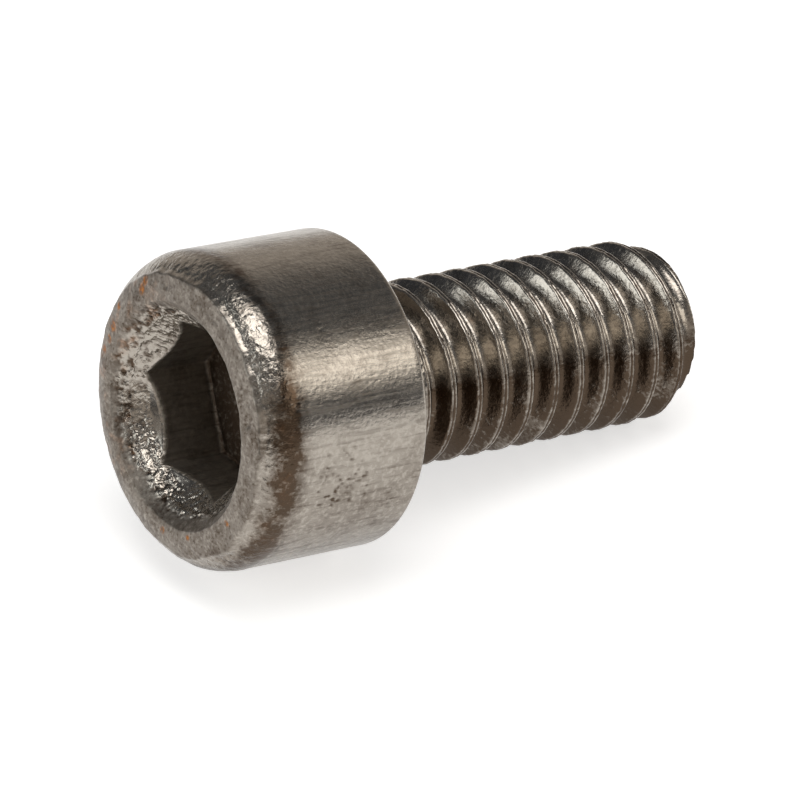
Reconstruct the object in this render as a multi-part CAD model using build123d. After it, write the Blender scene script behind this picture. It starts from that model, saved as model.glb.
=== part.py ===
from build123d import *
import math
import os

# Hexagon socket head cap screw in stainless steel, threaded up to the head.
# It is drawn on its own axis, head below and tip above, and then laid down on its side.
# Lengths are in millimetres, angles in degrees. Angles about the axis start at the side that ends up on top.

# Thread
nominal_diameter = 6.0
pitch = 1.0
flank_angle = 60.0
crest_allowance = 0.10
top_crest_height = 0.33
shank_length = 12.15

# Neck between the head and the first full turn of thread, bevelled into the bearing face
neck_length = 0.36
runout_turns = 0.6

# Tip
tip_flat_diameter = 4.6
tip_chamfer_angle = 45.0

# Head
head_diameter = 10.0
head_height = 5.96
face_edge_radius = 1.3
rim_bevel = 0.12

# Hexagon socket
socket_width = 5.0
socket_depth = 3.2
socket_turn = 28.7
socket_floor_diameter = 4.8
socket_floor_angle = 150.0
mouth_diameter = 7.0
mouth_angle = 80.0

# How far a cutting shape reaches beyond the surface that it cuts
cut_clearance = 0.05

# Thread form that follows from the pitch and the flank angle
half_flank = math.radians(flank_angle / 2)
sharp_height = pitch / (2 * math.tan(half_flank))
crest_radius = (nominal_diameter - crest_allowance) / 2
pitch_radius = nominal_diameter / 2 - 3 / 8 * sharp_height
root_radius = nominal_diameter / 2 - 17 / 24 * sharp_height
crest_width = pitch / 2 - 2 * (crest_radius - pitch_radius) * math.tan(half_flank)

# Places along the axis, from the bearing face under the head
head_radius = head_diameter / 2
face_height = -head_height
socket_floor_height = face_height + socket_depth
full_thread_start = neck_length + crest_radius - pitch_radius
tip_radius = tip_flat_diameter / 2
chamfer_slope = math.tan(math.radians(90 - tip_chamfer_angle))
full_thread_end = shank_length - (crest_radius - tip_radius) * chamfer_slope
waste_length = 2 * pitch


def turned(*points):
    """Solid of revolution about the screw's axis, from (radius, height) points."""
    outline = Polyline(*[(radius, 0, height) for radius, height in points], close=True)
    return revolve(make_face(outline), Axis.Z)


def headed_blank():
    """Head, neck and plain shank, with spare length past the tip for the thread to run out into."""
    blank = turned(
        (0, face_height),
        (head_radius, face_height),
        (head_radius, -rim_bevel),
        (head_radius - rim_bevel, 0),
        (pitch_radius + neck_length, 0),
        (pitch_radius, neck_length),
        (crest_radius, full_thread_start),
        (crest_radius, shank_length + waste_length),
        (0, shank_length + waste_length),
    )
    face_edge = blank.edges().filter_by(GeomType.CIRCLE).sort_by(Axis.Z)[0]
    return fillet(face_edge, face_edge_radius)


def groove_profile():
    """Section of the thread groove, with a flat root and two sloped flanks."""
    outer_radius = crest_radius + cut_clearance
    root_half_width = pitch / 4 - (pitch_radius - root_radius) * math.tan(half_flank)
    outer_half_width = pitch / 4 + (outer_radius - pitch_radius) * math.tan(half_flank)
    corners = [
        (root_radius, 0, root_half_width),
        (outer_radius, 0, outer_half_width),
        (outer_radius, 0, -outer_half_width),
        (root_radius, 0, -root_half_width),
    ]
    return make_face(Polyline(*corners, close=True))


def thread_groove():
    """Right-hand groove that rises out of the shank towards the head."""
    start_height = full_thread_start + pitch / 2
    start_turn = 360 * ((start_height - top_crest_height) / pitch - 0.5)
    main_length = shank_length + waste_length - pitch - start_height
    main_groove = sweep(groove_profile(), path=Helix(pitch, main_length, root_radius), is_frenet=True)

    rise = crest_radius + 2 * cut_clearance - root_radius
    runout_length = runout_turns * pitch
    slope = math.atan2(rise, runout_length)
    runout_path = Helix(
        pitch / math.cos(slope),
        runout_length,
        root_radius,
        direction=(0, 0, -1),
        cone_angle=math.degrees(slope),
    )
    runout = sweep(groove_profile(), path=Rot(Z=180) * runout_path, is_frenet=True)
    return [Pos(Z=start_height) * Rot(Z=start_turn) * groove for groove in (main_groove, runout)]


def tip_waste():
    """Everything past the end face and outside the tip's chamfer."""
    outer_radius = crest_radius + cut_clearance
    return turned(
        (0, shank_length),
        (tip_radius, shank_length),
        (outer_radius, full_thread_end - (outer_radius - crest_radius) * chamfer_slope),
        (outer_radius, shank_length + waste_length + cut_clearance),
        (0, shank_length + waste_length + cut_clearance),
    )


def hexagon_socket():
    """Hexagon hole with a shallow cone at its floor and a countersunk mouth."""
    hexagon = Plane((0, 0, face_height - cut_clearance)) * RegularPolygon(
        socket_width / 2, 6, major_radius=False, rotation=socket_turn
    )
    hole = extrude(hexagon, socket_depth + cut_clearance)
    floor_radius = socket_floor_diameter / 2
    floor_cone_height = floor_radius / math.tan(math.radians(socket_floor_angle / 2))
    floor_cone = turned(
        (0, socket_floor_height - cut_clearance),
        (floor_radius, socket_floor_height - cut_clearance),
        (floor_radius, socket_floor_height),
        (0, socket_floor_height + floor_cone_height),
    )
    mouth_radius = mouth_diameter / 2
    mouth_slope = math.tan(math.radians(mouth_angle / 2))
    mouth_depth = (mouth_radius - socket_width / 2) / mouth_slope
    mouth = turned(
        (0, face_height - cut_clearance),
        (mouth_radius + cut_clearance * mouth_slope, face_height - cut_clearance),
        (socket_width / 2, face_height + mouth_depth),
        (0, face_height + mouth_depth),
    )
    return hole + floor_cone + mouth


def laid_down(screw):
    """Lays the screw on its side, on the rim of its head and on the last full crest below the axis."""
    lowest_crest_height = top_crest_height + pitch / 2 + crest_width / 2
    full_turns = math.floor((full_thread_end - lowest_crest_height) / pitch)
    resting_crest_height = lowest_crest_height + full_turns * pitch
    tilt = math.atan2(head_radius - crest_radius, resting_crest_height + rim_bevel)
    towards_tip = Vector(math.cos(tilt), 0, -math.sin(tilt))
    towards_top = Vector(math.sin(tilt), 0, math.cos(tilt))
    axis_height = head_radius * math.cos(tilt) - rim_bevel * math.sin(tilt)
    lying = Plane(origin=(0, 0, axis_height), x_dir=towards_top, z_dir=towards_tip).location * screw
    return Pos(X=-lying.bounding_box().center().X) * lying


screw = headed_blank()
for groove in thread_groove():
    screw -= groove
screw -= tip_waste()
screw -= hexagon_socket()
screw = laid_down(screw)

os.makedirs("parts", exist_ok=True)
export_step(screw, "parts/cap_screw.step")
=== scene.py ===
import bpy
import math
import numpy as np
from mathutils import Matrix, Vector
from types import SimpleNamespace


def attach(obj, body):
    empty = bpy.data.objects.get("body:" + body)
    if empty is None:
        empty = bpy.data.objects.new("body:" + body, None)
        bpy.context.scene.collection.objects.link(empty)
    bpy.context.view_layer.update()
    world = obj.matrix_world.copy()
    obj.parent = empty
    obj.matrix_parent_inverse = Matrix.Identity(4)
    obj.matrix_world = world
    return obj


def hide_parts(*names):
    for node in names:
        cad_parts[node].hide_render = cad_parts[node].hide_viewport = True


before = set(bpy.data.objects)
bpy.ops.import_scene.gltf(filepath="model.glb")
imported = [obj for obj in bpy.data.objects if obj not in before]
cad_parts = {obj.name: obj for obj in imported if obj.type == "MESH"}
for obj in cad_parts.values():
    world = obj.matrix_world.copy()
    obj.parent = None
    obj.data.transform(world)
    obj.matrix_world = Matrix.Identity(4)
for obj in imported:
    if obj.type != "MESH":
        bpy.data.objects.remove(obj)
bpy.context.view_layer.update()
mm = 0.001  # the sizes below are in millimetres, Blender's are in metres

# How the screw lies: on the rim of its head and on a crest near its tip
lie = {
    "headRadius": 5.0,
    "rimBevel": 0.12,
    "crestRadius": 2.95,
    "restingCrest": 10.921,  # how far along the axis that crest is
    "bearingX": -2.9043,  # where the face under the head meets the axis
}
tilt = math.atan2(lie["headRadius"] - lie["crestRadius"], lie["restingCrest"] + lie["rimBevel"])
axisHeight = lie["headRadius"] * math.cos(tilt) - lie["rimBevel"] * math.sin(tilt)
bearingCentre = np.array([lie["bearingX"], 0.0, axisHeight])
toTip = np.array([math.cos(tilt), 0.0, -math.sin(tilt)])
toTop = np.array([math.sin(tilt), 0.0, math.cos(tilt)])
toSide = np.cross(toTip, toTop)


# Screw's own numbers (distance from axis, angle from the top, place along the axis) to the room's
def placed(radius, angle, along):
    outward = np.cos(angle)[..., None] * toTop + np.sin(angle)[..., None] * toSide
    return (bearingCentre + along[..., None] * toTip + radius[..., None] * outward) * mm


# The same numbers as points about a straight axis, where the noise is sampled
def unrolled(radius, angle, along):
    return np.stack([radius * np.cos(angle), radius * np.sin(angle), along], -1)


def smoothStep(low, high, value):
    share = np.clip((value - low) / (high - low), 0.0, 1.0)
    return share * share * (3 - 2 * share)


# Smooth rise and fall about a centre, 1 at its top
def hump(value, centre, halfWidth):
    return np.exp(-(((value - centre) / halfWidth) ** 2))


# Smaller or larger of two heights, with the corner between them rounded off over blend
def softMin(first, second, blend):
    share = np.clip(0.5 + 0.5 * (second - first) / blend, 0.0, 1.0)
    return second * (1 - share) + first * share - blend * share * (1 - share)


def softMax(first, second, blend):
    return -softMin(-first, -second, blend)


def latticeValue(x, y, z, seed):
    mixed = (x * 374761393 + y * 668265263 + z * 2147483647 + seed * 1274126177) & 0x7FFFFFFF
    mixed = ((mixed ^ (mixed >> 13)) * 1103515245) & 0x7FFFFFFF
    return ((mixed ^ (mixed >> 16)) & 0xFFFF) / 32767.5 - 1.0


# Smooth noise from -1 to 1 at points in space, the same on every run
def noise(points, size, seed):
    scaled = points / size + 1000.0
    cell = np.floor(scaled).astype(np.int64)
    part = scaled - cell
    part = part * part * (3 - 2 * part)
    total = np.zeros(points.shape[:-1])
    for dx in (0, 1):
        for dy in (0, 1):
            for dz in (0, 1):
                value = latticeValue(cell[..., 0] + dx, cell[..., 1] + dy, cell[..., 2] + dz, seed)
                weightX = part[..., 0] if dx else 1 - part[..., 0]
                weightY = part[..., 1] if dy else 1 - part[..., 1]
                weightZ = part[..., 2] if dz else 1 - part[..., 2]
                total += value * weightX * weightY * weightZ
    return total


# Layers of noise added up; in the dictionaries below each layer is (height, size, seed)
def waves(points, layers):
    return sum(height * noise(points, size, seed) for height, size, seed in layers)


# Angle from one direction about the axis to another, never more than half a turn
def turnedFrom(angle, centreDegrees):
    return np.angle(np.exp(1j * (angle - math.radians(centreDegrees))))


# 1 around an angle about the screw's axis and 0 past its reach, both in degrees
def spotAngle(angle, centreDegrees, reachDegrees):
    reach = math.radians(reachDegrees)
    return 1 - smoothStep(0.6 * reach, reach, np.abs(turnedFrom(angle, centreDegrees)))


# Round spot on a side of the given radius, 1 at its centre and 0 past its reach
def sideSpot(skin, radius, centreDegrees, centreAlong, reach):
    across = turnedFrom(skin.angle, centreDegrees) * radius
    return 1 - smoothStep(0.0, reach, np.sqrt(across**2 + (skin.along - centreAlong) ** 2))


# The same on the head's face, at a distance from the axis
def faceSpot(skin, centreDegrees, centreRadius, reach):
    turn = math.radians(centreDegrees)
    overX = skin.points[..., 0] - centreRadius * math.cos(turn)
    overY = skin.points[..., 1] - centreRadius * math.sin(turn)
    return 1 - smoothStep(0.0, reach, np.hypot(overX, overY))


# Mesh from a skin's grid of points that closes on itself, each turn's end joined shift rows further on
def skinMesh(name, skin, paint, shift):
    points = placed(skin.radius, skin.angle, skin.along)
    points[..., 2] = np.maximum(points[..., 2], 0.0)  # worn flat where it would dip into the floor
    turns, rows = points.shape[:2]
    corner = np.arange(turns * rows).reshape(turns, rows)
    following = np.roll(corner, -1, axis=0)
    if shift:
        following[-1] = -1
        following[-1, : rows - shift] = corner[0, shift:]
    quads = np.stack([corner[:, 1:], following[:, 1:], following[:, :-1], corner[:, :-1]], -1)
    quads = quads.reshape(-1, 4)
    quads = quads[(quads >= 0).all(axis=1)]
    mesh = bpy.data.meshes.new(name)
    mesh.from_pydata(points.reshape(-1, 3).tolist(), [], quads.tolist())
    layer = mesh.color_attributes.new("paint", "FLOAT_COLOR", "POINT")
    layer.data.foreach_set("color", paint.reshape(-1).astype(np.float32))
    piece = bpy.data.objects.new(name, mesh)
    bpy.context.collection.objects.link(piece)
    bpy.ops.object.select_all(action="DESELECT")
    bpy.context.view_layer.objects.active = piece
    piece.select_set(True)
    bpy.ops.object.mode_set(mode="EDIT")
    bpy.ops.mesh.select_all(action="SELECT")
    bpy.ops.mesh.remove_doubles(threshold=2e-6)
    bpy.ops.mesh.dissolve_degenerate(threshold=1e-6)
    bpy.ops.object.mode_set(mode="OBJECT")
    piece.select_set(False)
    mesh.shade_smooth()
    return piece


# Rolled thread from the neck under the head to the rounded tip
thread = {
    "pitch": 1.0,
    "topCrest": 0.33,  # where the first crest crosses the top
    "rootRadius": 2.40,
    "rootRounding": 0.26,
    "rootWaves": ((0.006, 0.9, 8),),
    "crestHalfWidth": 0.078,
    "crestRounding": 0.030,
    "crestWaves": ((0.012, 0.55, 5), (0.016, 0.13, 6)),
    "flankSlope": 1.732,
    "flankTop": 0.02,  # the flanks aim this far past the crest
    "flankWaves": ((0.004, 0.30, 3),),
    "seamDepth": 0.038,  # rolling leaves a fine seam along the crest
    "seamHalfWidth": 0.027,
    "length": 12.45,
    "lastTurnFrom": 11.05,  # the last turn isn't rolled to its full height
    "lastTurnReach": 1.3,
    "lastTurnLoss": 0.42,
    # Both ends: the groove rises out of the steel before the head, and the tip is rounded
    "runoutTurns": 0.6,
    "runoutSteepness": 0.9,
    "runoutBlend": 0.04,
    "fullGrooveFrom": 1.11,
    "neckRadius": 2.675,
    "neckLength": 0.36,
    "neckBlend": 0.03,
    "bearingEdge": 3.035,
    "tipRadius": 2.42,
    "tipRounding": 0.45,
    "tipBulge": 0.05,
    "tipBlend": 0.05,
    "endDip": 0.03,
    "plainRadius": 3.0,  # wear is worked out on a plain cylinder of this radius
    "lowestNick": 2.6,  # nicks stay above this radius
    # Nicks in the crests: degrees from the top, place along the axis, reach, depth
    "nicks": (
        (40.8, 6.47, 0.16, 0.05),
        (124.0, 6.96, 0.22, 0.06),
        (33.0, 8.45, 0.12, 0.03),
        (88.0, 9.55, 0.14, 0.04),
        (118.0, 3.98, 0.15, 0.05),
        (60.5, 12.07, 0.20, 0.04),
        (215.0, 5.70, 0.25, 0.06),
        (290.0, 8.10, 0.20, 0.05),
        (330.0, 10.40, 0.18, 0.05),
    ),
    # Grime, painted shade and rust
    "grimeAndShade": 0.05,
    "grimeWaves": ((0.10, 0.9, 11),),
    # painted shade that deepens towards the roots, with dirt patches in the roots adding to it
    "rootPaintedShade": 0.12,
    "rootPatches": (0.15, 0.3, 12),
    "tipSidePaintedShade": 0.18,  # painted shade on the flank that faces the tip
    "lowSidePaintedShade": 1.15,  # painted shade on the side that lies low, between these degrees from the top
    "lowSideShadeFrom": (60, 80),
    "lowSideShadeTo": (250, 300),
    "lowWaves": ((0.35, 0.7, 13),),
    # painted shade in the crest's seam
    "seamPaintedShade": 0.6,
    "seamShadeHalfWidth": 0.035,
    "endDepthShare": 0.15,  # the end face gets the painted shade and dulling of a flank at this share of its depth
    # Rust spots on the flanks: degrees from the top, place along the axis, reach
    "rustRadius": 2.6,
    "rustSpots": ((25.3, 3.66, 0.13), (150.0, 5.2, 0.2), (240.0, 7.1, 0.25), (310.0, 2.9, 0.2)),
    "shine": 1.05,
    "rootDulling": 0.25,
    "grain": 0.18,
    # Mesh: places of the rows across half a pitch, and angles about the axis
    "rowsFromCrest": (0.015, 0.032, 0.055, 0.08, 0.105, 0.13, 0.165, 0.21, 0.26, 0.32, 0.38, 0.44),
    "anglesAround": 266,
}


# Rows run along the helix, so that crest, seam and root each keep to their own
def threadSkin():
    pitch = thread["pitch"]
    steps = [-step for step in reversed(thread["rowsFromCrest"])] + [0.0] + list(thread["rowsFromCrest"])
    spareTurns = 2  # before the first crest, and past the tip, where the end face takes more
    lastTurn = math.ceil(thread["length"] / pitch) + 2 * spareTurns
    turns = range(-spareTurns, lastTurn)
    rowPlace = np.array([(turn + step) * pitch for turn in turns for step in steps])
    angle = np.arange(thread["anglesAround"]) * 2 * math.pi / thread["anglesAround"]
    angle = angle[:, None] + 0 * rowPlace[None, :]
    along = thread["topCrest"] + rowPlace[None, :] + angle / (2 * math.pi) * pitch

    # Ends: rows past the neck close on its ring, rows past the tip run inwards over the end face
    overshoot = np.maximum(along - thread["length"], 0.0)
    along = np.clip(along, 0.0, thread["length"])
    reaches = along.max(axis=0) > 0.0
    reaches[max(int(np.argmax(reaches)) - 1, 0)] = True  # one more row closes the seam at the neck
    keep = reaches & (overshoot.min(axis=0) < thread["tipRadius"] + 0.2)
    skin = SimpleNamespace(angle=angle[:, keep], along=along[:, keep], overshoot=overshoot[:, keep])
    skin.rowsPerTurn = len(steps)
    skin.points = unrolled(thread["plainRadius"] + 0 * skin.along, skin.angle, skin.along)
    return skin


# Section of the thread: rolled crest with its seam, straight flanks, rounded root
def threadSection(skin):
    pitch = thread["pitch"]
    turnShare = skin.angle / (2 * math.pi)
    turnsRun = (skin.along - thread["topCrest"]) / pitch
    skin.fromCrest = (turnsRun - turnShare + 0.5) % 1.0 - 0.5
    offset = np.abs(skin.fromCrest) * pitch + waves(skin.points, thread["flankWaves"])
    crest = lie["crestRadius"] + waves(skin.points, thread["crestWaves"])
    flankTop = lie["crestRadius"] + thread["flankTop"]
    flank = flankTop - (offset - thread["crestHalfWidth"]) * thread["flankSlope"]
    section = softMin(crest, flank, thread["crestRounding"])
    section -= thread["seamDepth"] * hump(skin.fromCrest * pitch, 0.0, thread["seamHalfWidth"])
    crestTurn = turnsRun - skin.fromCrest  # how many turns the nearest crest has run
    lastTurnEnd = thread["lastTurnFrom"] + thread["lastTurnReach"]
    loss = thread["lastTurnLoss"] * smoothStep(thread["lastTurnFrom"], lastTurnEnd, crestTurn)
    section -= loss * (1 - 0.5 * smoothStep(0.1, 0.5, np.abs(skin.fromCrest)))
    root = thread["rootRadius"] + waves(skin.points, thread["rootWaves"])
    section = softMax(section, root, thread["rootRounding"])

    grooveTurn = np.floor(turnsRun - turnShare) + turnShare + 0.5
    grooveAlong = thread["topCrest"] + grooveTurn * pitch
    lift = np.clip((thread["fullGrooveFrom"] - grooveAlong) / (thread["runoutTurns"] * pitch), 0.0, 1.4)
    section += lift * (lie["crestRadius"] - thread["rootRadius"] + 0.1) * thread["runoutSteepness"]
    return softMin(section, crest, thread["runoutBlend"])


# The section held inside the neck's bevels and the rounded tip, with the end face closed
def threadEnds(skin, section):
    neck = np.where(
        skin.along < thread["neckLength"],
        thread["bearingEdge"] - skin.along,
        thread["neckRadius"] + skin.along - thread["neckLength"],
    )
    fromEnd = thread["length"] - skin.along
    rounding = thread["tipRounding"]
    dome = np.sqrt(np.clip(1 - (np.clip(rounding - fromEnd, 0, rounding) / rounding) ** 2, 0.0, 1.0))
    tip = thread["tipRadius"] + (lie["crestRadius"] + thread["tipBulge"] - thread["tipRadius"]) * dome
    radius = softMin(section, np.maximum(neck, thread["neckRadius"]), thread["neckBlend"])
    radius = softMin(radius, tip, thread["tipBlend"])
    radius = np.where(skin.along <= 1e-9, thread["bearingEdge"], radius)
    radius = np.where(skin.overshoot > 0, np.maximum(radius - skin.overshoot, 0.0), radius)
    skin.along = skin.along - thread["endDip"] * smoothStep(0.0, 0.5, skin.overshoot)
    return radius


def threadPaint(skin):
    onThread = skin.overshoot <= 0
    depth = (lie["crestRadius"] - skin.radius) / (lie["crestRadius"] - thread["rootRadius"])
    depth = np.where(onThread, np.clip(depth, 0.0, 1.0), thread["endDepthShare"])
    # grime, with painted shade that deepens towards the thread's roots
    grimeAndShade = thread["grimeAndShade"] + thread["rootPaintedShade"] * depth + waves(skin.points, thread["grimeWaves"])
    # dirt patches in the roots, which add to the painted shade there
    patchDepth, patchSize, patchSeed = thread["rootPatches"]
    patches = np.clip(noise(skin.points, patchSize, patchSeed), 0.0, 1.0)
    grimeAndShade = np.clip(grimeAndShade, 0.0, 1.0) + patchDepth * smoothStep(0.35, 0.95, depth) * patches
    # painted shade on the flank that faces the tip
    grimeAndShade = grimeAndShade + thread["tipSidePaintedShade"] * (skin.fromCrest > 0) * smoothStep(0.05, 0.25, depth)
    # painted shade on the side that lies low, lighter on the crests
    degrees = np.degrees(skin.angle)
    low = smoothStep(*thread["lowSideShadeFrom"], degrees) * (1 - smoothStep(*thread["lowSideShadeTo"], degrees))
    offCrest = 0.40 + 0.60 * smoothStep(0.0, 0.08, depth)
    lowPatches = 0.9 + waves(skin.points, thread["lowWaves"])
    grimeAndShade = grimeAndShade + thread["lowSidePaintedShade"] * low * onThread * offCrest * lowPatches
    # painted shade in the crest's seam
    seam = hump(skin.fromCrest * thread["pitch"], 0.0, thread["seamShadeHalfWidth"]) * onThread
    grimeAndShade = np.clip(grimeAndShade + thread["seamPaintedShade"] * seam, 0.0, 1.4)
    rust = 0.0 * grimeAndShade
    for spot in thread["rustSpots"]:
        rust = np.maximum(rust, sideSpot(skin, thread["rustRadius"], *spot))
    shine = np.clip(thread["shine"] - depth * thread["rootDulling"], 0.0, 1.0)
    return np.stack([grimeAndShade, rust, shine, thread["grain"] + 0 * grimeAndShade], -1)


def threadPiece():
    skin = threadSkin()
    skin.radius = threadEnds(skin, threadSection(skin))
    for *spot, depth in thread["nicks"]:
        nick = sideSpot(skin, thread["plainRadius"], *spot) * (skin.radius > thread["lowestNick"])
        skin.radius -= depth * nick
    return skinMesh("screw_thread", skin, threadPaint(skin), skin.rowsPerTurn)


# Head with its rounded face edge, worn face, countersunk mouth and hexagon socket. A side, such as
# flatSide, is the degrees from the top of its middle and how many degrees it reaches either way
head = {
    "height": 5.96,
    "edgeRadius": 1.3,
    "rimRounding": 0.14,
    "socketWidth": 5.0,
    "socketDepth": 3.2,
    "socketTurn": 28.7,
    "floorDiameter": 4.8,
    "floorConeDepth": 0.643,
    "mouthDiameter": 7.1,
    "mouthSlope": 0.839,  # how fast the countersink closes in with depth
    # Face and its edge: a worn lip at the mouth, a flat ring, then a crumpled step where the ring ends
    "lipWear": 0.20,
    "lipDip": 0.06,
    "faceWaves": ((0.020, 0.8, 21), (0.010, 0.14, 23)),
    "edgeWaves": ((0.012, 0.5, 22),),
    "stepRadius": 4.45,
    "stepWander": ((0.10, 0.9, 24), (0.04, 0.3, 25)),
    "flatSlope": 0.12,
    "flatWaves": ((0.022, 0.42, 28), (0.010, 0.17, 29)),
    "flatSide": (55, 110),  # the ring is flattest here
    "flatElsewhere": 0.30,
    "crumpledWaves": ((0.014, 0.09, 26), (0.012, 0.2, 27)),
    "crumpledEnd": (4.93, 5.0),  # the crumpling fades out between these distances from the axis
    # Dents in the face: degrees from the top, distance from the axis, reach, depth
    "dents": (
        (66.5, 3.95, 0.20, 0.05),
        (71.8, 4.40, 0.16, 0.05),
        (58.0, 4.10, 0.12, 0.03),
        (-20.0, 4.05, 0.15, 0.04),
        (155.0, 4.2, 0.2, 0.04),
        (230.0, 4.3, 0.25, 0.05),
    ),
    # Mouth: slopes in to a ridge, then a hammered ring, then a smooth facet above some of the flats
    "ridgeRadius": 3.13,
    "ridgeHeight": 0.03,
    "ridgeHalfWidth": 0.05,
    "slopeWaves": ((0.025, 0.45, 35), (0.010, 0.15, 37)),
    "facetRadius": 2.76,
    "facetDip": 0.315,
    "facetsAt": ((-103, 30), (-152, 34), (60, 90)),
    "hammeredRadius": 3.26,
    "hammeredWander": ((0.12, 0.5, 38),),
    "hammeredDepth": 0.12,
    "hammeredWaves": ((0.6, 0.15, 34), (0.4, 0.08, 36)),
    "hammeredStrength": 0.65,
    "strengthWaves": ((0.45, 1.1, 33),),
    "farSide": (-85, 75),  # the hammered ring is wider here
    "farSideReach": 0.16,
    "chatterSide": (-50, 35),  # and chatter marks cross it here
    "chatterDepth": 0.012,
    "chatterMarks": ((118, 3.0, 0.9, 31), (71, 2.5, 0.6, 32)),  # marks around, drift, its size, seed
    # Socket walls: broach lines as height, width, drift along the wall, seed, and a fold at their top
    "broachLines": ((0.010, 0.10, 0.15, 41), (0.014, 0.32, 0.10, 42)),
    "foldHeight": 0.03,
    "foldHalfWidth": 0.08,
    # Pits in the side: degrees from the top, place along the axis, reach, share of the full depth
    "pitDepth": 0.03,
    "pits": (
        (80.6, -3.67, 0.10, 1.0),
        (101.0, -2.59, 0.12, 1.0),
        (88.5, -3.45, 0.12, 1.0),
        (89.5, -3.30, 0.12, 1.0),
        (91.2, -3.18, 0.09, 1.0),
        (95.0, -2.85, 0.07, 2 / 3),
        (36.5, -3.25, 0.08, 2 / 3),
        (32.2, -3.44, 0.07, 2 / 3),
        (180.0, -2.2, 0.12, 1.0),
        (238.0, -3.9, 0.10, 1.0),
        (300.0, -1.6, 0.12, 1.0),
    ),
    "pitClusters": ((93, -3.0, 1.7, 1.0), (210, -2.6, 2.0, 0.7)),
    "clusterFill": 1.6,
    "clusterPits": (0.13, 52),  # size and seed of the small pits in those clusters
    "sideWaves": ((0.004, 1.6, 51),),
    # Grime, painted shade, painted highlights and rust
    "grimeAndShade": 0.12,
    "grimeWaves": ((0.07, 1.4, 61),),
    "pitGrime": 0.75,
    "faceGrime": 0.46,
    "faceGrimeWaves": ((0.10, 0.35, 65),),
    "hollowGrimeAndShade": 0.50,  # grime and painted shade in the hollows of the hammered ring
    "peakPolishAndHighlight": 0.80,  # polish and painted highlights on its peaks
    "facetPolish": 0.6,
    # painted shade on the socket's floor and on the bearing face under the head
    "socketFloorShade": 0.85,
    "bearingFaceShade": 0.4,
    "shadeSide": (185, 115),  # the side's lower half, darkened with painted shade
    "paintedSideShade": 0.35,
    "lowSide": (124, 92),  # the lower half of the rolled edge, where the brown band gets painted shade
    "band": {"along": -4.75, "halfWidth": 0.30, "grimeAndShade": 0.75, "share": 0.72},  # brown band of old dirt
    # painted shade: on the lower half the band moves, widens and darkens
    "bandOnLowSide": {"along": -0.33, "halfWidth": 0.22, "grimeAndShade": 0.45, "share": 0.12},
    "bandEdge": 2.6,  # 2 fades out softly, more has a harder edge
    "bandWander": ((0.06, 0.5, 62), (0.10, 0.16, 68)),
    "bandWaves": ((0.25, 0.3, 63),),
    "bandRust": (0.07, 0.3, 64),
    "faceRust": (0.35, 0.28, 67),
    # Rust spots on the face: degrees from the top, distance from the axis, reach
    "rustSpots": (
        (-72.0, 4.00, 0.20),
        (-86.0, 4.10, 0.16),
        (-79.0, 3.95, 0.14),
        (-62.0, 4.20, 0.13),
        (-37.0, 4.25, 0.16),
        (-40.0, 4.05, 0.18),
        (176.0, 3.84, 0.12),
        (155.0, 3.76, 0.10),
        (120.0, 3.9, 0.10),
    ),
    # How polished and how coarse the steel is, by surface
    "shine": {"side": 0.8, "edge": 0.8, "faceLoss": 0.55, "facet": 0.9, "hammered": 0.9},
    "grain": {"everywhere": 0.15, "hammered": 0.55, "crumpled": 0.45, "face": 0.15, "facetLoss": 0.1},
    # Mesh: rows on each surface, and angles about the axis
    "outsideRows": {"bearing": 3, "rim": 5, "side": 42, "edge": 34, "face": 4},
    "insideRows": {"mouth": 34, "wall": 11, "floor": 3, "cone": 2},
    "anglesAround": 720,
}
faceAlong = -head["height"]
faceRadius = lie["headRadius"] - head["edgeRadius"]
mouthRadius = head["mouthDiameter"] / 2
socketFloor = faceAlong + head["socketDepth"]


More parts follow.
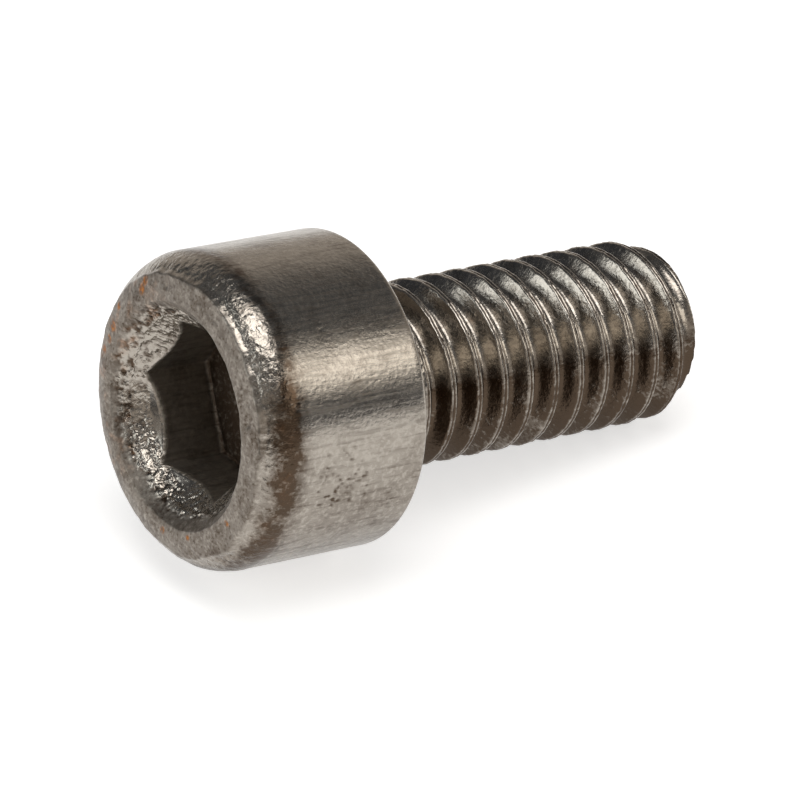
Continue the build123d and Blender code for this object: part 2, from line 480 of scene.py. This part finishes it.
# Unworn head, as rings from the bearing face over the side and face down to the socket's floor
def headSkin():
    around = head["anglesAround"]
    turn = math.radians(head["socketTurn"])
    ring = turn + np.arange(around) * 2 * math.pi / around
    fromCorner = (ring - turn + math.pi / 6) % (math.pi / 3) - math.pi / 6
    hexRadius = head["socketWidth"] / 2 / np.cos(math.pi / 6 - np.abs(fromCorner))
    hexAlong = faceAlong + (mouthRadius - hexRadius) / head["mouthSlope"]
    rings = []  # each is (radius, along, which surface it belongs to)

    def line(startRadius, startAlong, endRadius, endAlong, count, surface):
        for share in np.arange(count) / count:
            radius = startRadius + (endRadius - startRadius) * share
            rings.append((radius, startAlong + (endAlong - startAlong) * share, surface))

    def arc(centreRadius, centreAlong, radius, fromDegrees, toDegrees, count, surface):
        for share in np.arange(count) / count:
            bend = math.radians(fromDegrees + (toDegrees - fromDegrees) * share)
            bendAlong = centreAlong + radius * math.sin(bend)
            rings.append((centreRadius + radius * math.cos(bend), bendAlong, surface))

    rows = {**head["outsideRows"], **head["insideRows"]}
    edge, rim = head["edgeRadius"], head["rimRounding"]
    headRadius, floorRadius = lie["headRadius"], head["floorDiameter"] / 2
    coneFloor = socketFloor + head["floorConeDepth"]
    line(thread["bearingEdge"], 0.0, headRadius - rim, 0.0, rows["bearing"], "bearing")
    arc(headRadius - rim, -rim, rim, 90, 0, rows["rim"], "side")
    line(headRadius, -rim, headRadius, faceAlong + edge, rows["side"], "side")
    arc(faceRadius, faceAlong + edge, edge, 0, -90, rows["edge"], "edge")
    line(faceRadius, faceAlong, mouthRadius, faceAlong, rows["face"], "face")
    line(mouthRadius, faceAlong, hexRadius, hexAlong, rows["mouth"], "mouth")
    line(hexRadius, hexAlong, hexRadius, socketFloor, rows["wall"], "wall")
    line(hexRadius, socketFloor, floorRadius, socketFloor, rows["floor"], "floor")
    line(floorRadius, socketFloor, 0.0, coneFloor, rows["cone"], "floor")
    rings.append((0.0, coneFloor, "floor"))

    skin = SimpleNamespace(surface=np.array([surface for radius, along, surface in rings]))
    skin.radius = np.stack([radius + 0 * ring for radius, along, surface in rings], 1)
    skin.along = np.stack([along + 0 * ring for radius, along, surface in rings], 1)
    skin.angle = ring[:, None] + 0 * skin.radius
    skin.points = unrolled(skin.radius, skin.angle, skin.along)
    return skin


# 1 on the rings of the named surfaces and 0 elsewhere
def on(skin, *surfaces):
    return np.isin(skin.surface, surfaces)[None, :] * 1.0


# Face and its edge: worn, a little wavy, dented, with a rolled step where the flat ring ends
def wearFace(skin):
    lip = hump(skin.radius, mouthRadius, head["lipWear"]) * (skin.along < faceAlong + 0.5)
    skin.worn = on(skin, "edge", "face")
    skin.along = skin.along + head["lipDip"] * lip + skin.worn * waves(skin.points, head["faceWaves"])
    skin.radius = skin.radius + skin.worn * waves(skin.points, head["edgeWaves"])

    skin.step = head["stepRadius"] + waves(skin.points, head["stepWander"])
    onFlat = skin.worn * (1 - smoothStep(skin.step - 0.02, skin.step + 0.06, skin.radius))
    elsewhere = head["flatElsewhere"]
    onFlat = onFlat * (elsewhere + (1 - elsewhere) * spotAngle(skin.angle, *head["flatSide"]))
    flat = faceAlong + head["flatSlope"] * np.maximum(skin.radius - faceRadius, 0.0)
    flat = flat + waves(skin.points, head["flatWaves"])
    skin.along = skin.along + onFlat * np.minimum(flat - skin.along, 0.0)

    beyond = on(skin, "edge") * smoothStep(skin.step, skin.step + 0.1, skin.radius)
    skin.beyond = beyond * (1 - smoothStep(*head["crumpledEnd"], skin.radius))
    skin.along = skin.along - skin.beyond * waves(skin.points, head["crumpledWaves"])
    for *spot, depth in head["dents"]:
        skin.along = skin.along + skin.worn * depth * faceSpot(skin, *spot)


# Mouth: the ridge, the hammered ring with its chatter marks, and the smooth facets
def wearMouth(skin):
    mouth = on(skin, "mouth")
    skin.slope = mouth * smoothStep(head["ridgeRadius"] - 0.03, head["ridgeRadius"] + 0.03, skin.radius)
    facet = mouth * (1 - smoothStep(head["facetRadius"] - 0.03, head["facetRadius"] + 0.02, skin.radius))
    aboveFlats = sum(spotAngle(skin.angle, *place) for place in head["facetsAt"])
    skin.facet = facet * np.clip(aboveFlats, 0.0, 1.0)

    skin.farSide = spotAngle(skin.angle, *head["farSide"])
    reach = head["hammeredRadius"] + head["farSideReach"] * skin.farSide
    reach = reach + waves(skin.points, head["hammeredWander"])
    fading = (1 - smoothStep(reach - 0.15, reach + 0.15, skin.radius)) * on(skin, "mouth", "face", "edge")
    skin.rough = fading * (1 - skin.facet)
    skin.hammered = waves(skin.points, head["hammeredWaves"])
    chatter = 0
    for marks, drift, size, seed in head["chatterMarks"]:
        chatter = chatter + np.sin(skin.angle * marks + drift * noise(skin.points, size, seed))
    chatter = head["chatterDepth"] * chatter * spotAngle(skin.angle, *head["chatterSide"])
    strength = skin.rough * (head["hammeredStrength"] + waves(skin.points, head["strengthWaves"]))
    skin.along = skin.along + strength * (chatter + head["hammeredDepth"] * skin.hammered)
    skin.along = skin.along - skin.facet * head["facetDip"] * (head["facetRadius"] - skin.radius)
    skin.along = skin.along + skin.slope * waves(skin.points, head["slopeWaves"])
    ridge = hump(skin.radius, head["ridgeRadius"], head["ridgeHalfWidth"])
    skin.radius = skin.radius - mouth * head["ridgeHeight"] * ridge


def broachWalls(skin):
    wall = on(skin, "wall")
    for height, width, drift, seed in head["broachLines"]:
        lines = np.stack([skin.angle * 6.0, 0 * skin.angle, skin.along * drift], -1)
        skin.radius = skin.radius + wall * height * noise(lines, width, seed)
    wallTop = skin.along[:, [np.argmax(skin.surface == "wall")]]
    fold = hump(skin.along, wallTop, head["foldHalfWidth"])
    skin.radius = skin.radius - wall * head["foldHeight"] * fold


def pitSide(skin):
    headRadius = lie["headRadius"]
    skin.pits = 0 * skin.radius
    for *spot, share in head["pits"]:
        skin.pits = np.maximum(skin.pits, share * sideSpot(skin, headRadius, *spot))
    cluster = sum(share * sideSpot(skin, headRadius, *spot) for *spot, share in head["pitClusters"])
    small = smoothStep(0.30, 0.62, noise(skin.points, *head["clusterPits"]))
    skin.pits = np.maximum(skin.pits, small * np.clip(cluster * head["clusterFill"], 0.0, 1.0))
    skin.radius = skin.radius - on(skin, "side", "edge") * head["pitDepth"] * skin.pits
    skin.radius = skin.radius + on(skin, "side") * waves(skin.points, head["sideWaves"])


# Brown band of old dirt where the side turns into the rolled edge, widest and darkest on the lower half,
# where that is painted shade
def brownBand(skin, lowSide):
    band, more = head["band"], head["bandOnLowSide"]
    middle = band["along"] + more["along"] * lowSide + waves(skin.points, head["bandWander"])
    halfWidth = band["halfWidth"] + more["halfWidth"] * lowSide
    share = band["share"] + more["share"] * lowSide + waves(skin.points, head["bandWaves"])
    inside = np.exp(-(np.abs((skin.along - middle) / halfWidth) ** head["bandEdge"]))
    return inside * on(skin, "side", "edge") * np.clip(share, 0.0, 1.0)


def headPaint(skin):
    lowSide = spotAngle(skin.angle, *head["lowSide"])
    band = brownBand(skin, lowSide)
    insideStep = 1 - smoothStep(skin.step - 0.05, skin.step + 0.05, skin.radius)
    faceShare = np.maximum(on(skin, "face", "edge") * insideStep, skin.slope)

    grimeAndShade = head["grimeAndShade"] + waves(skin.points, head["grimeWaves"])
    grimeAndShade = grimeAndShade + head["pitGrime"] * on(skin, "side", "edge") * skin.pits
    grimeAndShade = grimeAndShade + faceShare * (head["faceGrime"] + waves(skin.points, head["faceGrimeWaves"]))
    # painted shade in the hammered ring's hollows and painted highlights on its peaks, together with its
    # dirt and polish
    hollows = smoothStep(0.0, 0.35, skin.hammered)
    peaks = smoothStep(0.02, 0.22, -skin.hammered)
    grimeAndShade = grimeAndShade + skin.rough * (head["hollowGrimeAndShade"] * hollows - head["peakPolishAndHighlight"] * peaks - 0.10)
    grimeAndShade = grimeAndShade - head["facetPolish"] * skin.facet
    # painted shade on the socket's floor and on the bearing face under the head
    grimeAndShade = grimeAndShade + head["socketFloorShade"] * on(skin, "floor") + head["bearingFaceShade"] * on(skin, "bearing")
    # the brown band, with painted shade where it widens on the lower half
    grimeAndShade = grimeAndShade + (head["band"]["grimeAndShade"] + head["bandOnLowSide"]["grimeAndShade"] * lowSide) * band
    # painted shade on the side's lower half
    grimeAndShade = grimeAndShade + head["paintedSideShade"] * on(skin, "side") * spotAngle(skin.angle, *head["shadeSide"])
    # painted shade at the foot of the socket walls, darkening the inner corner
    deepInSocket = smoothStep(socketFloor - 0.25, socketFloor - 0.05, skin.along)
    grimeAndShade = grimeAndShade + on(skin, "wall") * (deepInSocket - 0.02)

    bandRust, bandSize, bandSeed = head["bandRust"]
    faceRust, faceSize, faceSeed = head["faceRust"]
    rust = bandRust * band * np.clip(0.3 + noise(skin.points, bandSize, bandSeed), 0.0, 1.0)
    facePatches = np.clip(noise(skin.points, faceSize, faceSeed) - 0.1, 0.0, 1.0)
    rust = rust + faceRust * faceShare * skin.farSide * facePatches
    for degrees, place, reach in head["rustSpots"]:
        spot = 1.7 * faceSpot(skin, degrees, place, 1.35 * reach)
        rust = np.maximum(rust, skin.worn * np.clip(spot, 0.0, 1.0))

    polish = head["shine"]
    shine = polish["side"] * on(skin, "side")
    shine = shine + on(skin, "edge") * (polish["edge"] - polish["faceLoss"] * faceShare)
    shine = shine + polish["facet"] * skin.facet + polish["hammered"] * skin.rough
    coarse = head["grain"]
    grain = coarse["everywhere"] + coarse["hammered"] * skin.rough + coarse["crumpled"] * skin.beyond
    grain = grain + coarse["face"] * faceShare - coarse["facetLoss"] * skin.facet
    return np.stack([np.clip(grimeAndShade, 0, 1.4), np.clip(rust, 0, 1), shine, np.clip(grain, 0, 1)], -1)


def headPiece():
    skin = headSkin()
    wearFace(skin)
    wearMouth(skin)
    broachWalls(skin)
    pitSide(skin)
    return skinMesh("screw_head", skin, headPaint(skin), 0)


# Shader node with its settings; each input gets a value or is wired to another node's output
def addNode(tree, kind, inputs=None, **settings):
    made = tree.nodes.new(kind)
    for name, value in settings.items():
        setattr(made, name, value)
    for name, value in (inputs or {}).items():
        if isinstance(value, bpy.types.NodeSocket):
            tree.links.new(value, made.inputs[name])
        else:
            made.inputs[name].default_value = value
    return made


def combined(tree, operation, first, second):
    return addNode(tree, "ShaderNodeMath", {0: first, 1: second}, operation=operation).outputs[0]


# 0 up to the low value and 1 from the high one
def rampBetween(tree, value, low, high, **settings):
    inputs = {"Value": value, "From Min": low, "From Max": high}
    return addNode(tree, "ShaderNodeMapRange", inputs, **settings).outputs[0]


def mixColour(tree, share, first, second):
    return addNode(tree, "ShaderNodeMix", {0: share, 6: first, 7: second}, data_type="RGBA").outputs[2]


# Worn stainless steel. Paint's red is grime together with painted shade and highlights, green rust, blue
# how polished it is, alpha how coarse
steel = {
    "bright": (0.40, 0.365, 0.32, 1),
    "dull": (0.075, 0.053, 0.037, 1),
    "rustDark": (0.085, 0.035, 0.015, 1),
    "rustLight": (0.40, 0.15, 0.03, 1),
    "roughness": (0.46, 0.15),  # dull and polished
    "grainPerMetre": 6500.0,
    "patchesPerMetre": 1500.0,
    "hairPerMetre": 9000.0,
    "hairStretch": (0.08, 1, 1),  # fine hair lines run along the axis
    # Each is where in the noise it starts, where it's full, and how strong it is
    "patchGrime": (0.48, 0.72, 0.30),
    "hairGrime": (0.52, 0.70, 0.32),
    "grainPolish": (0.48, 0.70, 0.40),
    "hairDulling": (0.40, 0.70, 0.40),
    "rustTones": (0.35, 0.65),
    "rustPatches": (0.30, 0.50),
    "fineBumpShare": 0.5,
    "bumpStrength": 0.65,
    "bumpHeight": 0.010 * mm,
    "grainHeight": 0.045 * mm,
}


def steelMaterial():
    material = bpy.data.materials.new("worn_stainless")
    material.use_nodes = True
    tree = material.node_tree
    tree.nodes.clear()

    def noiseTexture(vector, scale, detail):
        inputs = {"Vector": vector, "Scale": scale, "Detail": detail, "Roughness": 0.6}
        return addNode(tree, "ShaderNodeTexNoise", inputs).outputs["Fac"]

    def share(value, low, high, strength):
        return combined(tree, "MULTIPLY", rampBetween(tree, value, low, high), strength)

    def mapped(vector, **change):
        return addNode(tree, "ShaderNodeMapping", {"Vector": vector, **change}).outputs[0]

    onAxis = mapped(addNode(tree, "ShaderNodeTexCoord").outputs["Object"], Rotation=(0, -tilt, 0))
    alongAxis = mapped(onAxis, Scale=steel["hairStretch"])
    speckle = noiseTexture(onAxis, steel["grainPerMetre"], 3.0)
    patches = noiseTexture(onAxis, steel["patchesPerMetre"], 5.0)
    hairs = noiseTexture(alongAxis, steel["hairPerMetre"], 4.0)

    paint = addNode(tree, "ShaderNodeVertexColor", layer_name="paint")
    channels = addNode(tree, "ShaderNodeSeparateColor", {"Color": paint.outputs["Color"]}).outputs
    grimeAndShade, rust, shine = channels[0], channels[1], channels[2]

    # share of dull steel: the paint's grime and painted shade, plus noise patches, hair lines and lighter
    # grain specks
    dirtAndShade = combined(tree, "ADD", grimeAndShade, share(patches, *steel["patchGrime"]))
    dirtAndShade = combined(tree, "ADD", dirtAndShade, share(hairs, *steel["hairGrime"]))
    dirtAndShade = combined(tree, "SUBTRACT", dirtAndShade, share(speckle, *steel["grainPolish"]))
    metal = mixColour(tree, dirtAndShade, steel["bright"], steel["dull"])
    rustTone = rampBetween(tree, speckle, *steel["rustTones"])
    rustColour = mixColour(tree, rustTone, steel["rustDark"], steel["rustLight"])
    rustPatches = rampBetween(tree, speckle, *steel["rustPatches"])
    rustShare = combined(tree, "MULTIPLY", rust, rustPatches)
    colour = mixColour(tree, rustShare, metal, rustColour)

    polish = combined(tree, "SUBTRACT", shine, share(hairs, *steel["hairDulling"]))
    dull, polished = steel["roughness"]
    roughness = addNode(tree, "ShaderNodeMapRange", {"Value": polish, "To Min": dull, "To Max": polished})

    hairHeight = combined(tree, "MULTIPLY", hairs, steel["fineBumpShare"])
    speckleHeight = combined(tree, "MULTIPLY", speckle, steel["fineBumpShare"])
    fine = combined(tree, "ADD", hairHeight, speckleHeight)
    fineInputs = {"Strength": steel["bumpStrength"], "Distance": steel["bumpHeight"], "Height": fine}
    fineBump = addNode(tree, "ShaderNodeBump", fineInputs)
    coarseBump = addNode(tree, "ShaderNodeBump", {
        "Strength": paint.outputs["Alpha"],
        "Distance": steel["grainHeight"],
        "Height": noiseTexture(onAxis, steel["grainPerMetre"], 2.0),
        "Normal": fineBump.outputs[0],
    })
    shader = addNode(tree, "ShaderNodeBsdfPrincipled", {
        "Metallic": 1.0,
        "Base Color": colour,
        "Roughness": roughness.outputs[0],
        "Normal": coarseBump.outputs[0],
    })
    addNode(tree, "ShaderNodeOutputMaterial", {"Surface": shader.outputs[0]})
    return material


print("stage: screw")
screwSteel = steelMaterial()
pieces = [threadPiece(), headPiece()]
for piece in pieces:
    piece.data.materials.append(screwSteel)
    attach(piece, "root")
    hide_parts("cap_screw")
print("triangles:", [sum(len(face.vertices) - 2 for face in piece.data.polygons) for piece in pieces])

# Pale floor that stays white around the soft shadow
floorLook = {
    "halfWidth": 4.0,
    "colour": (0.80, 0.80, 0.80, 1),
    "lift": 0.60,  # a glow that only the camera and what shines or lets light through can see
}


def floorMaterial():
    material = bpy.data.materials.new("pale_floor")
    material.use_nodes = True
    tree = material.node_tree
    tree.nodes.clear()
    ray = addNode(tree, "ShaderNodeLightPath").outputs
    seen = combined(tree, "MAXIMUM", ray["Is Camera Ray"], ray["Is Glossy Ray"])
    seen = combined(tree, "MAXIMUM", seen, ray["Is Transmission Ray"])
    strength = combined(tree, "MULTIPLY", seen, floorLook["lift"])
    glow = addNode(tree, "ShaderNodeEmission", {"Strength": strength})
    diffuse = addNode(tree, "ShaderNodeBsdfDiffuse", {"Color": floorLook["colour"]})
    both = addNode(tree, "ShaderNodeAddShader", {0: diffuse.outputs[0], 1: glow.outputs[0]})
    addNode(tree, "ShaderNodeOutputMaterial", {"Surface": both.outputs[0]})
    return material


print("stage: floor")
half = floorLook["halfWidth"]
floorMesh = bpy.data.meshes.new("floor")
floorCorners = [(-half, -half, 0), (half, -half, 0), (half, half, 0), (-half, half, 0)]
floorMesh.from_pydata(floorCorners, [], [(0, 1, 2, 3)])
floorMesh.materials.append(floorMaterial())
floor = bpy.data.objects.new("floor", floorMesh)
bpy.context.collection.objects.link(floor)

# Soft studio light: a dim room with broad lamps, placed by compass angle and height above the floor
room = {
    "walls": (0.56, 0.51, 0.46, 1),
    "ceiling": (0.075, 0.08, 0.088, 1),
    "ceilingFrom": (0.35, 0.72),  # how high on the room's dome the walls darken into the ceiling
    "darkCorner": (0.05, 0.055, 0.065, 1),
    "darkCornersAt": ((0.64, -0.76, 0.06), (-0.97, -0.22, 0.02), (-0.53, 0.81, 0.22)),
    "darkCornerReach": (0.87, 0.96),
    "lampsAimAt": (0.0, 0.0, 0.004),
}
lamps = {
    "front_right": {
        "azimuth": -58,
        "height": 33,
        "distance": 0.30,
        "size": (0.22, 0.12),
        "power": 0.18,
        "colour": (1.0, 0.96, 0.89),
    },
    "left": {
        "azimuth": 164,
        "height": 28,
        "distance": 0.30,
        "size": (0.22, 0.14),
        "power": 0.19,
        "colour": (0.92, 0.98, 1.0),
    },
    "overhead": {
        "azimuth": 235,
        "height": 78,
        "distance": 0.40,
        "size": (0.26, 0.26),
        "power": 0.75,
        "colour": (1.0, 0.98, 0.96),
    },
}


def roomWorld():
    world = bpy.data.worlds.new("room")
    world.use_nodes = True
    tree = world.node_tree
    towards = addNode(tree, "ShaderNodeTexCoord").outputs["Generated"]
    height = addNode(tree, "ShaderNodeSeparateXYZ", {0: towards}).outputs["Z"]
    high = rampBetween(tree, height, *room["ceilingFrom"], interpolation_type="SMOOTHSTEP")
    colour = mixColour(tree, high, room["walls"], room["ceiling"])
    for place in room["darkCornersAt"]:
        facing = {0: towards, 1: Vector(place).normalized()}
        facing = addNode(tree, "ShaderNodeVectorMath", facing, operation="DOT_PRODUCT").outputs["Value"]
        inCorner = rampBetween(tree, facing, *room["darkCornerReach"], interpolation_type="SMOOTHSTEP")
        colour = mixColour(tree, inCorner, colour, room["darkCorner"])
    tree.links.new(colour, tree.nodes["Background"].inputs["Color"])
    return world


def addLamp(name, lamp, target):
    data = bpy.data.lights.new(name, "AREA")
    data.shape = "RECTANGLE"
    data.size, data.size_y = lamp["size"]
    data.energy = lamp["power"]
    data.color = lamp["colour"]
    azimuth, height = math.radians(lamp["azimuth"]), math.radians(lamp["height"])
    level = math.cos(height)
    towards = Vector((level * math.cos(azimuth), level * math.sin(azimuth), math.sin(height)))
    lampObject = bpy.data.objects.new(name, data)
    bpy.context.collection.objects.link(lampObject)
    lampObject.location = target + towards * lamp["distance"]
    lampObject.rotation_euler = towards.to_track_quat("Z", "Y").to_euler()


print("stage: light")
bpy.context.scene.world = roomWorld()
for name, lamp in lamps.items():
    addLamp(name, lamp, Vector(room["lampsAimAt"]))

# Camera at the photograph's angle: how the screw's axis runs in its view, and where the bearing face is
view = {
    "lens": 264.06,
    "sensorWidth": 36.0,
    "clipStart": 0.01,
    "axisInView": (0.8064, 0.1559, -0.5704),
    "bearingInView": (-2.094, 0.419, -182.35),
}
print("stage: camera")
axisInView = np.array(view["axisInView"]) / np.linalg.norm(view["axisInView"])
lean = math.hypot(axisInView[1], axisInView[2])
climb = math.acos(-math.sin(tilt) / lean) - math.atan2(-axisInView[2], axisInView[1])
upInView = np.array([0.0, math.cos(climb), math.sin(climb)])
xInView = (axisInView + math.sin(tilt) * upInView) / math.cos(tilt)
yInView = np.cross(upInView, xInView)
worldToView = np.stack([xInView, yInView, upInView], 1)
cameraPlace = (bearingCentre - worldToView.T @ np.array(view["bearingInView"])) * mm
cameraData = bpy.data.cameras.new("camera")
cameraData.lens = view["lens"]
cameraData.sensor_width = view["sensorWidth"]
cameraData.clip_start = view["clipStart"]
camera = bpy.data.objects.new("camera", cameraData)
bpy.context.collection.objects.link(camera)
camera.matrix_world = Matrix.Translation(Vector(cameraPlace)) @ Matrix(worldToView.T.tolist()).to_4x4()
bpy.context.scene.camera = camera
bpy.context.scene.view_settings.view_transform = "Standard"
